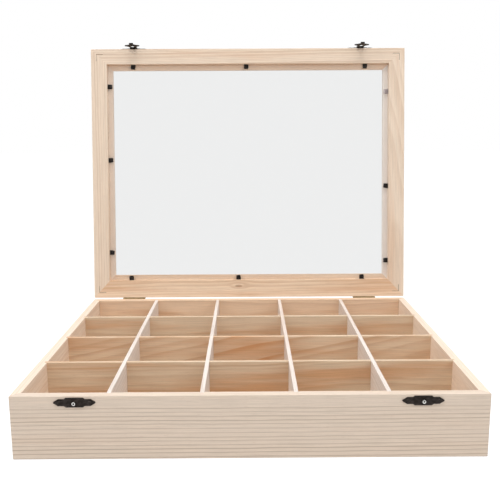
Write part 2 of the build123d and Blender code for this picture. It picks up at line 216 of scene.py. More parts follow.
def pine_growth():
    """Growth rings round a pith, with streaks and fibres along the grain, in a board's millimetres.

    A board's own X runs along its grain, Y across its face and Z through its thickness.
    """
    tree = bpy.data.node_groups.new("pine growth", "ShaderNodeTree")
    tree.interface.new_socket("Place", in_out="INPUT", socket_type="NodeSocketVector")
    for name in growth_numbers:
        tree.interface.new_socket(name, in_out="INPUT", socket_type="NodeSocketFloat")
    for name in ("Latewood", "Ring tone", "Streak", "Fibre", "Pores", "Knot"):
        tree.interface.new_socket(name, in_out="OUTPUT", socket_type="NodeSocketFloat")
    given = node(tree, "NodeGroupInput").outputs
    result = node(tree, "NodeGroupOutput").inputs
    place = given["Place"]
    offset = node(tree, "ShaderNodeCombineXYZ")
    for index, factor in enumerate((371.0, 173.0, 59.0)):
        feed(tree, reckon(tree, "MULTIPLY", given["Seed"], factor), offset.inputs[index])
    shifted = reckon_vector(tree, "ADD", place, offset.outputs[0])
    parts = node(tree, "ShaderNodeSeparateXYZ")
    feed(tree, place, parts.inputs[0])
    along, across, deep = parts.outputs

    # The knot pushes the rings apart on both its sides
    knot_along = reckon(tree, "SUBTRACT", along, given["Knot along"])
    knot_across = reckon(tree, "SUBTRACT", across, given["Knot across"])
    size = reckon(tree, "MAXIMUM", given["Knot size"], 0.01)
    far_along = reckon(tree, "DIVIDE", knot_along, reckon(tree, "MULTIPLY", size, 4.2))
    far_across = reckon(tree, "DIVIDE", knot_across, reckon(tree, "MULTIPLY", size, 2.6))
    distance = reckon(tree, "ADD", reckon(tree, "MULTIPLY", far_along, far_along),
                      reckon(tree, "MULTIPLY", far_across, far_across))
    bell = reckon(tree, "EXPONENT", reckon(tree, "MULTIPLY", distance, -1.0))
    side = reckon(tree, "TANH", reckon(tree, "DIVIDE", knot_across, reckon(tree, "MULTIPLY", size, 0.7)))
    push = reckon(tree, "MULTIPLY", reckon(tree, "MULTIPLY", bell, side),
                  reckon(tree, "MULTIPLY", given["Knot size"], 1.5))
    heart_along = reckon(tree, "DIVIDE", knot_along, reckon(tree, "MULTIPLY", size, 1.6))
    heart_across = reckon(tree, "DIVIDE", knot_across, reckon(tree, "MULTIPLY", size, 0.55))
    heart = reckon(tree, "SQRT", reckon(tree, "ADD", reckon(tree, "MULTIPLY", heart_along, heart_along),
                                        reckon(tree, "MULTIPLY", heart_across, heart_across)))
    knot = ramp(tree, heart, 0.75, 1.15, 1.0, 0.0)
    knot = reckon(tree, "MULTIPLY", knot, reckon(tree, "GREATER_THAN", given["Knot size"], 0.05))

    # Distance from the pith, in rings of uneven width
    rise = reckon(tree, "MULTIPLY", given["Slope across"], along)
    from_pith = reckon(tree, "SUBTRACT", reckon(tree, "SUBTRACT", across, given["Pith across"]), rise)
    from_pith = reckon(tree, "SUBTRACT", from_pith, push)
    sink = reckon(tree, "MULTIPLY", given["Slope deep"], along)
    below_pith = reckon(tree, "SUBTRACT", reckon(tree, "SUBTRACT", deep, given["Pith deep"]), sink)
    radius = reckon(tree, "SQRT", reckon(tree, "ADD", reckon(tree, "MULTIPLY", from_pith, from_pith),
                                         reckon(tree, "MULTIPLY", below_pith, below_pith)))
    sway = mottle(tree, stretch(tree, shifted, (0.006, 0.018, 0.018)), detail=1.0)
    sway = reckon(tree, "MULTIPLY", reckon(tree, "SUBTRACT", sway, 0.5), given["Wander"])
    ripple = mottle(tree, stretch(tree, shifted, (0.028, 0.10, 0.10)), detail=2.0)
    ripple = reckon(tree, "MULTIPLY", reckon(tree, "SUBTRACT", ripple, 0.5), given["Ripple"])
    radius = reckon(tree, "ADD", reckon(tree, "ADD", radius, sway), ripple)
    count = reckon(tree, "DIVIDE", radius, given["Ring width"])
    unevenness = node(tree, "ShaderNodeTexNoise", noise_dimensions="1D")
    feed(tree, reckon(tree, "ADD", reckon(tree, "MULTIPLY", count, 0.42), given["Seed"]), unevenness.inputs["W"])
    unevenness.inputs["Scale"].default_value = 1.0
    unevenness.inputs["Detail"].default_value = 1.0
    drift = reckon(tree, "MULTIPLY", unevenness.outputs[0], given["Unevenness"])
    count = reckon(tree, "ADD", count, drift)
    phase = reckon(tree, "FRACT", count)
    latewood = reckon(tree, "MULTIPLY", ramp(tree, phase, given["Late from"], 0.86),
                      ramp(tree, phase, 0.90, 1.0, 1.0, 0.0))
    tone = node(tree, "ShaderNodeTexWhiteNoise", noise_dimensions="1D")
    feed(tree, reckon(tree, "ADD", reckon(tree, "FLOOR", count), given["Seed"]), tone.inputs["W"])

    streak = mottle(tree, stretch(tree, shifted, (0.0045, 0.055, 0.055)), detail=3.0, roughness=0.55)
    fibre = mottle(tree, stretch(tree, shifted, (0.035, 1.5, 1.5)), detail=3.0, roughness=0.62)
    dashes = mottle(tree, stretch(tree, shifted, (0.16, 4.5, 4.5)), detail=1.0)
    pores = ramp(tree, dashes, 0.66, 0.76)
    for value, name in ((latewood, "Latewood"), (tone.outputs[0], "Ring tone"), (streak, "Streak"),
                        (fibre, "Fibre"), (pores, "Pores"), (knot, "Knot")):
        feed(tree, value, result[name])
    return tree


growth = pine_growth()
usual_board = {"Ripple": 1.2, "Unevenness": 1.6, "Late from": 0.25}
pale_pine = linear(234, 214, 193)
ring_pine = linear(198, 162, 130)
white_pine = linear(236, 226, 218)
white_ring = linear(210, 188, 172)
honey_pine = linear(242, 218, 192)
honey_ring = linear(206, 166, 128)
tan_pine = linear(223, 201, 174)
tan_ring = linear(184, 144, 108)
flame_pine = linear(229, 205, 177)
flame_ring = linear(186, 136, 94)
orange_pine = linear(236, 208, 180)
orange_ring = linear(194, 148, 110)
light_pine = linear(246, 227, 208)
light_ring = linear(220, 190, 162)
front_pine = linear(229, 211, 193)
front_ring = linear(184, 160, 138)
amber_pine = linear(206, 150, 100)
flame_orange = linear(208, 144, 88)
ply_pale = linear(226, 205, 178)
ply_ring = linear(186, 146, 108)
knot_brown = linear(150, 92, 52)


def pine_board(name, piece, axes, way, half_reach, mitre_side, board, tones=(pale_pine, ring_pine)):
    """A pine board with its own piece of the trunk, for one CAD node.

    The axes are those of its grain, of its face and of its thickness. A mitred board darkens along its
    mitre, which lies at half_reach along the grain and slants with mitre_side.
    """
    material, tree, surface, output = new_material(name)
    middle, size = middle_and_size(piece, way.inverted())
    turned = Matrix(axes).to_4x4()
    into_board = Matrix.Scale(1000, 4) @ turned @ Matrix.Translation(-middle) @ way.inverted()
    mapping = node(tree, "ShaderNodeMapping", vector_type="POINT")
    mapping.inputs["Scale"].default_value = (1000, 1000, 1000)
    mapping.inputs["Rotation"].default_value = (turned @ way.inverted()).to_3x3().to_euler("XYZ")
    mapping.inputs["Location"].default_value = into_board.translation
    feed(tree, object_place(tree), mapping.inputs["Vector"])
    place = mapping.outputs[0]
    rings = node(tree, "ShaderNodeGroup", node_tree=growth)
    feed(tree, place, rings.inputs["Place"])
    for key in growth_numbers:
        rings.inputs[key].default_value = board.get(key, usual_board.get(key, 0.0))

    # Rings, fading out where the board is plain
    strength = reckon(tree, "MULTIPLY_ADD", rings.outputs["Ring tone"], 0.55, 0.45)
    strength = reckon(tree, "MULTIPLY", strength, rings.outputs["Latewood"])
    strength = reckon(tree, "MULTIPLY", strength, board.get("Ring strength", 0.7))
    parts = node(tree, "ShaderNodeSeparateXYZ")
    feed(tree, place, parts.inputs[0])
    if "Plain above" in board:
        edge = board["Plain above"]
        strength = reckon(tree, "MULTIPLY", strength, ramp(tree, parts.outputs[1], edge - 0.6, edge, 1.0, 0.12))
    colour = tint(tree, strength, *tones)

    # Warmer heartwood in long streaks and in a flame, and fine fibres
    warm = ramp(tree, rings.outputs["Streak"], board.get("Warm from", 0.50), board.get("Warm to", 0.72))
    warm = reckon(tree, "MULTIPLY", warm, board.get("Warmth", 0.5))
    colour = tint(tree, warm, colour, amber_pine)
    if "Flame along" in board:
        away = reckon(tree, "DIVIDE", reckon(tree, "SUBTRACT", parts.outputs[0], board["Flame along"]),
                      board["Flame reach"])
        near = reckon(tree, "EXPONENT", reckon(tree, "MULTIPLY", reckon(tree, "MULTIPLY", away, away), -1.0))
        glow = reckon(tree, "MULTIPLY", near, reckon(tree, "MULTIPLY_ADD", strength, 0.9, 0.35))
        colour = tint(tree, glow, colour, flame_orange)
    fibres = ramp(tree, rings.outputs["Fibre"], 0.25, 0.78, 1.08, 0.90)
    grey = node(tree, "ShaderNodeCombineColor")
    for index in range(3):
        feed(tree, fibres, grey.inputs[index])
    colour = tint(tree, 1.0, colour, grey.outputs[0], "MULTIPLY")
    colour = tint(tree, reckon(tree, "MULTIPLY", rings.outputs["Pores"], 0.28), colour, knot_brown)
    colour = tint(tree, reckon(tree, "MULTIPLY", rings.outputs["Knot"], 0.5), colour, knot_brown)

    # Painted light and shade on the ledge in the rebate, at the board's edge next to the glass and below its face: a
    # paler tone lightens the ledge seen through the glass, and on the rear rail a darker, warmer one darkens it a
    # little
    if "Rebate edge" in board:
        amount, *shade = board["Rebate painted light and shade"]
        ledge_painted_light = ramp(tree, parts.outputs[1], board["Rebate edge"] - 0.2, board["Rebate edge"] + 0.1, amount, 0.0)
        sunk = reckon(tree, "COMPARE", parts.outputs[2], 0.5, 4.0)
        colour = tint(tree, reckon(tree, "MULTIPLY", ledge_painted_light, sunk), colour, linear(*shade))

    # The thin dark line of a mitre
    if half_reach:
        slant = reckon_vector(tree, "DOT_PRODUCT", place, mitre_side)
        gap = reckon(tree, "SUBTRACT", reckon(tree, "ADD", slant, half_reach),
                     reckon(tree, "ABSOLUTE", parts.outputs[0]))
        line = ramp(tree, gap, 0.05, 0.22, 0.35, 0.0)
        colour = tint(tree, line, colour, linear(96, 62, 38))
    feed(tree, colour, surface.inputs["Base Color"])
    sheen = ramp(tree, rings.outputs["Fibre"], 0.2, 0.8, 0.56, 0.72)
    feed(tree, sheen, surface.inputs["Roughness"])
    surface.inputs["Specular IOR Level"].default_value = 0.5
    relief = reckon(tree, "MULTIPLY", rings.outputs["Fibre"], -0.6)
    relief = reckon(tree, "ADD", relief, reckon(tree, "MULTIPLY", strength, 0.5))
    raise_relief(tree, surface, relief, 0.00008)
    return material


right, back, up = (1, 0, 0), (0, 1, 0), (0, 0, 1)
left, front, down = (-1, 0, 0), (0, -1, 0), (0, 0, -1)

# Each board: its grain, face and thickness axes, then where it was sawn from the trunk, in millimetres
wall_boards = {
    "front_wall": ((right, up, front), {
        "Seed": 3.1, "Pith across": -150.0, "Pith deep": 20.0, "Slope across": 0.004, "Ring width": 3.3,
        "Wander": 2.4, "Ripple": 0.9, "Unevenness": 0.7, "Late from": 0.6, "Ring strength": 0.8,
        "Plain above": 17.0, "Warmth": 0.08}),
    "right_wall": ((back, up, right), {
        "Seed": 5.7, "Pith across": 12.0, "Pith deep": -60.0, "Slope across": 0.02, "Ring width": 3.0,
        "Wander": 8.0, "Ring strength": 0.45, "Warmth": 0.15}),
    "back_wall": ((left, up, back), {
        "Seed": 8.3, "Pith across": -6.0, "Pith deep": -48.0, "Slope across": 0.012, "Ring width": 3.6,
        "Wander": 10.0, "Ring strength": 0.5, "Warmth": 0.6}),
    "left_wall": ((front, up, left), {
        "Seed": 2.2, "Pith across": -20.0, "Pith deep": -70.0, "Slope across": -0.02, "Ring width": 2.8,
        "Wander": 8.0, "Ring strength": 0.45, "Warmth": 0.15}),
}
# The lid's boards also carry painted light and shade on their rebate's ledge: where it starts, then an amount and a
# colour
lid_boards = {
    "lid_front_rail": ((right, front, down), {
        "Seed": 11.4, "Pith across": -90.0, "Pith deep": -30.0, "Slope across": 0.01, "Ring width": 2.6,
        "Wander": 5.0, "Ring strength": 0.5, "Warmth": 0.35,
        "Rebate edge": -5.75, "Rebate painted light and shade": (0.85, 255, 220, 188)}),
    "lid_right_stile": ((back, right, down), {
        "Seed": 6.9, "Pith across": -8.0, "Pith deep": -34.0, "Slope across": 0.16, "Slope deep": 0.05,
        "Ring width": 5.2, "Wander": 9.0, "Late from": 0.1, "Ring strength": 0.3, "Warmth": 0.25,
        "Rebate edge": -6.15, "Rebate painted light and shade": (0.85, 255, 246, 238)}),
    "lid_rear_rail": ((left, back, down), {
        "Seed": 14.6, "Pith across": -46.0, "Pith deep": -24.0, "Slope across": 0.015, "Ring width": 3.0,
        "Wander": 6.0, "Ring strength": 0.5, "Warmth": 0.5, "Warm from": 0.42,
        "Knot along": 12.5, "Knot across": 0.0, "Knot size": 2.8,
        "Rebate edge": -7.25, "Rebate painted light and shade": (0.3, 236, 196, 160)}),
    "lid_left_stile": ((front, left, down), {
        "Seed": 9.8, "Pith across": -140.0, "Pith deep": 10.0, "Slope across": 0.01, "Ring width": 2.4,
        "Wander": 4.0, "Ring strength": 0.4, "Warmth": 0.2,
        "Rebate edge": -6.15, "Rebate painted light and shade": (0.7, 255, 232, 212)}),
}
divider_boards = {
    "cross_divider_1": ((right, up, front), {
        "Seed": 21.2, "Pith across": -14.0, "Pith deep": -26.0, "Slope across": 0.03, "Ring width": 4.2,
        "Wander": 10.0, "Ring strength": 0.45, "Warmth": 0.7, "Warm from": 0.46}),
    "cross_divider_2": ((right, up, front), {
        "Seed": 25.9, "Pith across": -30.0, "Pith deep": -18.0, "Slope across": 0.20, "Slope deep": 0.02,
        "Ring width": 9.0, "Wander": 16.0, "Ring strength": 0.5, "Warmth": 0.6, "Warm from": 0.42,
        "Flame along": 2.0, "Flame reach": 34.0}),
    "cross_divider_3": ((right, up, front), {
        "Seed": 27.3, "Pith across": -10.0, "Pith deep": -40.0, "Slope across": 0.02, "Ring width": 3.8,
        "Wander": 8.0, "Ring strength": 0.4, "Warmth": 0.6}),
    "front_to_back_divider_1": ((back, up, right), {
        "Seed": 31.5, "Pith across": -60.0, "Pith deep": 12.0, "Slope across": 0.02, "Ring width": 3.0,
        "Wander": 6.0, "Ring strength": 0.4, "Warmth": 0.1}),
    "front_to_back_divider_2": ((back, up, right), {
        "Seed": 34.4, "Pith across": -45.0, "Pith deep": -14.0, "Slope across": -0.02, "Ring width": 3.2,
        "Wander": 6.0, "Ring strength": 0.4, "Warmth": 0.1}),
    "front_to_back_divider_3": ((back, up, right), {
        "Seed": 38.1, "Pith across": 52.0, "Pith deep": 16.0, "Slope across": 0.015, "Ring width": 2.8,
        "Wander": 6.0, "Ring strength": 0.4, "Warmth": 0.12}),
    "front_to_back_divider_4": ((back, up, right), {
        "Seed": 41.7, "Pith across": -70.0, "Pith deep": -10.0, "Slope across": 0.01, "Ring width": 3.4,
        "Wander": 6.0, "Ring strength": 0.4, "Warmth": 0.12}),
}
floor_board = {
    "Seed": 51.3, "Pith across": 30.0, "Pith deep": -9.0, "Slope across": 0.03, "Slope deep": 0.004,
    "Ring width": 7.0, "Wander": 30.0, "Ring strength": 0.5, "Warmth": 0.25}


def finish_wood():
    """Gives every board its own pine."""
    special = {"lid_rear_rail": (honey_pine, honey_ring), "front_wall": (front_pine, front_ring), "back_wall": (orange_pine, orange_ring),
               "left_wall": (light_pine, light_ring), "right_wall": (light_pine, light_ring),
               "cross_divider_1": (tan_pine, tan_ring), "cross_divider_2": (flame_pine, flame_ring),
               "cross_divider_3": (tan_pine, tan_ring)}
    for piece, (axes, board) in wall_boards.items():
        middle, size = middle_and_size(piece, still)
        reach = (max(size) - min(size)) * 500
        material = pine_board("pine_" + piece, piece, axes, still, reach, (0, 0, 1), board, special[piece])
        dress(frame["nodes"][piece], material)
    for piece, (axes, board) in lid_boards.items():
        tones = special.get(piece, (pale_pine, ring_pine))
        material = pine_board("pine_" + piece, piece, axes, swing_open, 0.0, (0, 0, 0), board, tones)
        dress(frame["nodes"][piece], material)
    for piece, (axes, board) in divider_boards.items():
        tones = special.get(piece, (white_pine, white_ring))
        material = pine_board("pine_" + piece, piece, axes, still, 0.0, (0, 0, 0), board, tones)
        dress(frame["nodes"][piece], material)
    panel = pine_board("plywood_floor", "floor_panel", (right, back, up), still, 0.0, (0, 0, 0), floor_board,
                       (ply_pale, ply_ring))
    dress(frame["nodes"]["floor_panel"], panel)


# Glass
def clear_glass():
    """Faintly grey window glass that lets the lamps through to the wood."""
    material, tree, surface, output = new_material("clear_window_glass")
    surface.inputs["Base Color"].default_value = (0.845, 0.85, 0.85, 1.0)
    surface.inputs["Transmission Weight"].default_value = 1.0
    surface.inputs["IOR"].default_value = 1.5
    surface.inputs["Roughness"].default_value = 0.0
    rays = node(tree, "ShaderNodeLightPath")
    through = node(tree, "ShaderNodeBsdfTransparent")
    through.inputs["Color"].default_value = (1.0, 1.0, 1.0, 1.0)
    mix = node(tree, "ShaderNodeMixShader")
    passing = reckon(tree, "MAXIMUM", rays.outputs["Is Shadow Ray"], rays.outputs["Is Diffuse Ray"])
    feed(tree, passing, mix.inputs[0])
    tree.links.new(surface.outputs[0], mix.inputs[1])
    tree.links.new(through.outputs[0], mix.inputs[2])
    tree.links.new(mix.outputs[0], output.inputs["Surface"])
    return material


# Metals
def worn_metal(name, dark, light, worn, metallic, roughness, patch_scale=0.35, wear=0.62):
    """Old metal, patchy between two colours and rubbed bright in small spots. Patches are per millimetre."""
    material, tree, surface, output = new_material(name)
    place = stretch(tree, object_place(tree), (1000, 1000, 1000))
    patches = mottle(tree, place, scale=patch_scale, detail=3.0, roughness=0.6)
    grains = mottle(tree, place, scale=patch_scale * 6, detail=2.0, roughness=0.6)
    colour = tint(tree, ramp(tree, patches, 0.35, 0.68), dark, light)
    rubbed = reckon(tree, "MULTIPLY", ramp(tree, grains, wear, wear + 0.12), ramp(tree, patches, 0.4, 0.7))
    colour = tint(tree, rubbed, colour, worn)
    feed(tree, colour, surface.inputs["Base Color"])
    surface.inputs["Metallic"].default_value = metallic
    feed(tree, ramp(tree, patches, 0.3, 0.75, roughness + 0.12, roughness - 0.06), surface.inputs["Roughness"])
    raise_relief(tree, surface, reckon(tree, "ADD", grains, patches), 0.00006)
    return material


# Fittings: each is shaped with its own Y up and Z out of the wood, and is then put in its place
mm = 0.001
plate_parts = {"middle": 13.2, "shoulder": 1.4, "arm_end": 12.5, "tip": 16.1, "height": 7.6, "arm_height": 5.4}
latch_side = ("left", "right")


def begin(name, primitive, **settings):
    """Starts a piece from a primitive, with nothing else selected, and goes into edit mode."""
    if bpy.context.mode != "OBJECT":
        bpy.ops.object.mode_set(mode="OBJECT")
    bpy.ops.object.select_all(action="DESELECT")
    primitive(**settings)
    piece = bpy.context.object
    piece.name = name
    bpy.ops.object.transform_apply(location=True, rotation=True, scale=True)
    bpy.ops.object.mode_set(mode="EDIT")
    return piece


def pick(kind, test):
    """In edit mode, selects only the points, edges or faces whose middle passes a test."""
    bpy.ops.mesh.select_mode(type=kind)
    bpy.ops.mesh.select_all(action="DESELECT")
    piece = bpy.context.object
    mesh = bmesh.from_edit_mesh(piece.data)
    for part in {"VERT": mesh.verts, "EDGE": mesh.edges, "FACE": mesh.faces}[kind]:
        if kind == "VERT":
            middle = part.co
        else:
            middle = sum((point.co for point in part.verts), Vector()) / len(part.verts)
        facing = part.normal if kind != "EDGE" else None
        if test(middle / mm, facing):
            part.select_set(True)
    mesh.select_flush_mode()
    bmesh.update_edit_mesh(piece.data)


def draw_out(x=0.0, y=0.0, z=0.0):
    """Extrudes the selected edges by so many millimetres."""
    bpy.ops.mesh.extrude_edges_move(TRANSFORM_OT_translate={"value": (x * mm, y * mm, z * mm)})


def apply_all(piece):
    """Back in object mode, applies a piece's modifiers."""
    bpy.ops.object.mode_set(mode="OBJECT")
    for modifier in list(piece.modifiers):
        bpy.ops.object.modifier_apply(modifier=modifier.name)


def tidy_mesh():
    """In edit mode, merges doubles and turns every face outwards."""
    bpy.ops.mesh.select_all(action="SELECT")
    bpy.ops.mesh.remove_doubles(threshold=0.000002)
    bpy.ops.mesh.normals_make_consistent(inside=False)


def join_solids(piece, other, operation):
    """Adds another solid to a piece, or cuts it out of it, and removes the other."""
    bpy.ops.object.mode_set(mode="OBJECT")
    bpy.ops.object.select_all(action="DESELECT")
    piece.select_set(True)
    view_layer.objects.active = piece
    modifier = piece.modifiers.new("joint", "BOOLEAN")
    modifier.operation = operation
    modifier.solver = "EXACT"
    modifier.object = other
    bpy.ops.object.modifier_apply(modifier=modifier.name)
    bpy.data.objects.remove(other)


def close_slivers(piece, reach):
    """Merges points of a piece that lie within so many millimetres, and drops the faces that this empties."""
    bpy.ops.object.select_all(action="DESELECT")
    piece.select_set(True)
    view_layer.objects.active = piece
    bpy.ops.object.mode_set(mode="EDIT")
    bpy.ops.mesh.select_all(action="SELECT")
    bpy.ops.mesh.remove_doubles(threshold=reach * mm)
    bpy.ops.mesh.dissolve_degenerate(threshold=reach * mm)
    bpy.ops.object.mode_set(mode="OBJECT")


def ease_edges(piece, width, angle=35.0):
    """Rounds a finished solid's sharp edges by so many millimetres."""
    close_slivers(piece, 0.02)
    modifier = piece.modifiers.new("eased edges", "BEVEL")
    modifier.width = width * mm
    modifier.segments = 2
    modifier.limit_method = "ANGLE"
    modifier.angle_limit = math.radians(angle)
    bpy.ops.object.modifier_apply(modifier=modifier.name)
    close_slivers(piece, 0.002)
    bpy.ops.object.shade_smooth_by_angle(angle=math.radians(40))


def settle(piece, way):
    """Moves a finished piece a given way and settles its mesh there."""
    bpy.ops.object.select_all(action="DESELECT")
    piece.select_set(True)
    view_layer.objects.active = piece
    piece.matrix_world = way
    bpy.ops.object.transform_apply(location=True, rotation=True, scale=True)


def put_in_place(piece, x, out, height, way):
    """Moves a finished fitting to the box's front, or on to the open lid's."""
    place = Matrix.Translation((x, front_face - out * mm, height * mm)) @ Matrix.Rotation(math.radians(90), 4, "X")
    settle(piece, way @ place)


def make_window_pane():
    """The lid's pane, with eased edges and just clear of the ledge that it rests on."""
    middle, size = middle_and_size("glass_pane", swing_shut)
    clearance = 0.1 * mm
    pane = begin("window_pane", bpy.ops.mesh.primitive_cube_add, size=1.0)
    bpy.ops.mesh.select_all(action="SELECT")
    bpy.ops.transform.resize(value=(size.x, size.y, size.z - clearance))
    bpy.ops.transform.translate(value=middle - Vector((0, 0, clearance / 2)))
    bpy.ops.object.mode_set(mode="OBJECT")
    ease_edges(pane, 0.25)
    bpy.ops.object.shade_flat()
    settle(pane, swing_open)
    dress(pane, clear_glass())
    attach(pane, "lid")
    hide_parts("glass_pane")


def make_glazing_points():
    """Twelve thin steel points, half in the wood, each bent up a little and turned by the hammer.

    The upper right one is bent the most and is given pale grey steel, a painted reflection of the bright surroundings
    in its bent face.
    """
    turns = (3, -4, 5, -3, 4, -5, 2, -4, 4, -3, 5, -2)
    lifts = (0.5, 0.9, 0.4, 0.6, 0.7, 0.6, 0.8, 0.5, 0.9, 2.0, 0.4, 0.8)
    pane_middle, pane_size = middle_and_size("glass_pane", swing_shut)
    points = []
    for (middle, size), angle, lift in zip(solids_of("glazing_points", swing_shut), turns, lifts):
        away = middle - pane_middle
        sideways = size.x > size.y
        outward = math.copysign(1, away.x if sideways else away.y)
        long_side, short_side = (size.x, size.y) if sideways else (size.y, size.x)
        point = begin("point", bpy.ops.mesh.primitive_plane_add, size=1.0)
        bpy.ops.mesh.select_all(action="SELECT")
        bpy.ops.transform.resize(value=(long_side * 0.6, short_side, 1))
        bpy.ops.transform.translate(value=(long_side * 0.2, 0, 0))
        pick("EDGE", lambda middle, facing: middle.x < 0)
        draw_out(x=-long_side / mm * 0.2, z=-lift * 0.25)
        draw_out(x=-long_side / mm * 0.2, z=-lift * 0.75)
        bpy.ops.transform.resize(value=(1, 0.82, 1))
        bpy.ops.object.mode_set(mode="OBJECT")
        sheet = point.modifiers.new("sheet", "SOLIDIFY")
        sheet.thickness = size.z * 0.9
        sheet.offset = 0.0
        apply_all(point)
        bpy.ops.object.mode_set(mode="EDIT")
        tidy_mesh()
        bpy.ops.object.mode_set(mode="OBJECT")
        ease_edges(point, 0.12)
        heading = math.radians(angle) + (0 if outward > 0 else math.pi) + (0 if sideways else math.pi / 2)
        settle(point, Matrix.Translation(middle) @ Matrix.Rotation(heading, 4, "Z"))
        # The most bent point is given pale steel, a painted reflection; the rest are blackened steel
        dress(point, reflection_painted_steel if lift > 1 else black_steel)
        points.append(point)
    bpy.ops.object.select_all(action="DESELECT")
    for point in points:
        point.select_set(True)
    view_layer.objects.active = points[0]
    bpy.ops.object.join()
    points = bpy.context.object
    points.name = "bent_glazing_points"
    settle(points, swing_open)
    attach(points, "lid")
    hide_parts("glazing_points")


def make_rivets():
    """The hollow rivets that the tongues' slots drop over, each with a rolled bright rim and painted shade, a
    near-black colour, inside its hollow.
    """
    for side in latch_side:
        node_name = side + "_latch_stud"
        middle, size = middle_and_size(node_name, still)
        reach = size.y / mm
        rivet = begin(side + "_rivet", bpy.ops.mesh.primitive_circle_add, vertices=40, radius=1.0 * mm,
                      fill_type="NGON")
        bpy.ops.mesh.select_all(action="SELECT")
        bpy.ops.mesh.extrude_region_move(TRANSFORM_OT_translate={"value": (0, 0, (reach - 0.75) * mm)})
        pick("FACE", lambda middle, facing: middle.z > 0.1 and abs(facing.z) > 0.9)
        bpy.ops.mesh.extrude_region_move(TRANSFORM_OT_translate={"value": (0, 0, 0)})
        bpy.ops.transform.resize(value=(1.4, 1.4, 1))
        bpy.ops.mesh.extrude_region_move(TRANSFORM_OT_translate={"value": (0, 0, 0.75 * mm)})
        bpy.ops.mesh.inset(thickness=0.55 * mm, depth=0.0)
        bpy.ops.mesh.inset(thickness=0.18 * mm, depth=-0.18 * mm)
        bpy.ops.mesh.extrude_region_move(TRANSFORM_OT_translate={"value": (0, 0, -1.1 * mm)})
        tidy_mesh()
        bpy.ops.object.mode_set(mode="OBJECT")
        ease_edges(rivet, 0.08)
        dress(rivet, bright_rivet)
        # Painted shade: the faces inside the rivet's hollow get a near-black colour
        rivet.data.materials.append(painted_shade_bore)
        bpy.ops.object.mode_set(mode="EDIT")
        pick("FACE", lambda middle, facing: math.hypot(middle.x, middle.y) < 0.72 and middle.z > 0.1)
        rivet.active_material_index = 1
        bpy.ops.object.material_slot_assign()
        bpy.ops.object.mode_set(mode="OBJECT")
        out = (front_face - (middle.y + size.y / 2)) / mm
        put_in_place(rivet, middle.x, out, middle.z / mm, still)
        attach(rivet, "box")
        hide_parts(node_name)


def plate_blank(name):
    """A stamped plate: a tall middle drawn out each way into an arm and a pointed tip, with a sunk field."""
    parts = plate_parts
    piece = begin(name, bpy.ops.mesh.primitive_plane_add, size=1.0)
    bpy.ops.transform.resize(value=(parts["middle"] * mm, parts["height"] * mm, 1))
    slim = parts["arm_height"] / parts["height"]
    middle_end = parts["middle"] / 2
    shoulder_end = middle_end + parts["shoulder"]
    for way in (-1, 1):
        pick("EDGE", lambda middle, facing: middle.x * way > middle_end - 0.1)
        draw_out(x=way * parts["shoulder"])
        bpy.ops.transform.resize(value=(1, slim, 1), center_override=(0, 0, 0))
        draw_out(x=way * (parts["arm_end"] - shoulder_end))
        draw_out(x=way * (parts["tip"] - parts["arm_end"]))
        bpy.ops.transform.resize(value=(1, 0.14, 1), center_override=(0, 0, 0))
    bpy.ops.mesh.select_all(action="SELECT")
    bpy.ops.mesh.extrude_region_move(TRANSFORM_OT_translate={"value": (0, 0, 0.8 * mm)})
    tidy_mesh()
    pick("FACE", lambda middle, facing: facing.z > 0.9)
    bpy.ops.mesh.inset(thickness=0.55 * mm, depth=0.0)
    bpy.ops.mesh.inset(thickness=0.22 * mm, depth=-0.28 * mm)
    bpy.ops.object.mode_set(mode="OBJECT")
    return piece


def raised_ring(x, y, major, minor, z):
    """A pressed ring that stands up from a plate's field."""
    ring = begin("pressed_ring", bpy.ops.mesh.primitive_torus_add, major_radius=major * mm, minor_radius=minor * mm,
                 major_segments=40, minor_segments=10, location=(x * mm, y * mm, z * mm))
    bpy.ops.object.mode_set(mode="OBJECT")
    return ring


def nail_seat(x, y):
    """The flat round seat that a plate has under each nail's head."""
    seat = begin("nail_seat", bpy.ops.mesh.primitive_cylinder_add, vertices=28, radius=1.75 * mm, depth=0.6 * mm,
                 location=(x * mm, y * mm, 0.5 * mm))
    pick("FACE", lambda middle, facing: facing.z > 0.9)
    bpy.ops.transform.resize(value=(0.86, 0.86, 1), center_override=(x * mm, y * mm, 0.8 * mm))
    bpy.ops.object.mode_set(mode="OBJECT")
    return seat


def make_box_plates():
    """The plates on the box's front, each with a pressed ring about its stud."""
    for side in latch_side:
        node_name = side + "_latch_box_plate"
        middle, size = middle_and_size(node_name, still)
        plate = plate_blank(side + "_box_plate")
        for x in (-11.7, 11.7):
            join_solids(plate, nail_seat(x, 0), "UNION")
        join_solids(plate, raised_ring(0, 0, 2.5, 0.30, 0.52), "UNION")
        ease_edges(plate, 0.10)
        put_in_place(plate, middle.x, 0, middle.z / mm, still)
        dress(plate, dark_bronze)
        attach(plate, "box")
        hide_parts(node_name)


def make_lid_plates():
    """The plates on the lid's front edge, with two knuckles for the tongue's pin."""
    for side in latch_side:
        node_name = side + "_latch_lid_plate"
        pin, size = middle_and_size(side + "_latch_pin", swing_shut)
        plate = plate_blank(side + "_lid_plate")
        for x in (-11.7, 11.7):
            join_solids(plate, nail_seat(x, 0), "UNION")
        notch = begin("notch", bpy.ops.mesh.primitive_cube_add, size=1.0)
        bpy.ops.transform.resize(value=(3.9 * mm, 4.4 * mm, 3 * mm))
        bpy.ops.transform.translate(value=(0, -2.35 * mm, 0.4 * mm))
        join_solids(plate, notch, "DIFFERENCE")
        for x in (-2.95, 2.95):
            knuckle = begin("knuckle", bpy.ops.mesh.primitive_cylinder_add, vertices=28, radius=1.3 * mm,
                            depth=2.0 * mm, rotation=(0, math.radians(90), 0), location=(x * mm, -1.6 * mm, 1.4 * mm))
            join_solids(plate, knuckle, "UNION")
        ease_edges(plate, 0.10)
        put_in_place(plate, pin.x, 0, pin.z / mm + 1.6, swing_open)
        dress(plate, dark_bronze)
        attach(plate, "lid")
        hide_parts(node_name)


